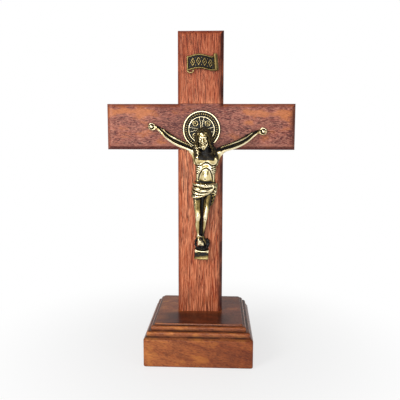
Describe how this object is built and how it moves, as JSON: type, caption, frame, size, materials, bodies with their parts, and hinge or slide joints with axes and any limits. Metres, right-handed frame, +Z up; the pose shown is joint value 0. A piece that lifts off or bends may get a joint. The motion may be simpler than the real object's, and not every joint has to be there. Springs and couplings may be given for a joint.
{
  "type": "standing crucifix",
  "caption": "Standing wooden cross on a moulded square base, with a cast antique brass figure nailed to it, a round medal behind the head and a title scroll above.",
  "frame": {"origin": "middle of the base's underside", "axes": "+Z up along the upright, -Y towards the viewer that the figure faces, +X to that viewer's right along the crossbar"},
  "size_m": [0.116, 0.065, 0.2],
  "materials": {
    "base_wood": "dark reddish brown, gloss varnish",
    "cross_wood": "reddish open-pored wood, satin varnish",
    "bar_wood": "mottled reddish brown wood, satin varnish",
    "antique_brass": "polished on raised parts, black patina in recesses",
    "zinc_steel": "zinc plated"
  },
  "bodies": {
    "root": {"base_block": "base_wood", "base_screw": "zinc_steel", "upright": "cross_wood", "crossbar": "bar_wood", "medal": "antique_brass", "title_scroll": "antique_brass", "corpus": "antique_brass", "left_hand_nail": "antique_brass", "right_hand_nail": "antique_brass", "foot_nail": "antique_brass"}
  },
  "joints": []
}
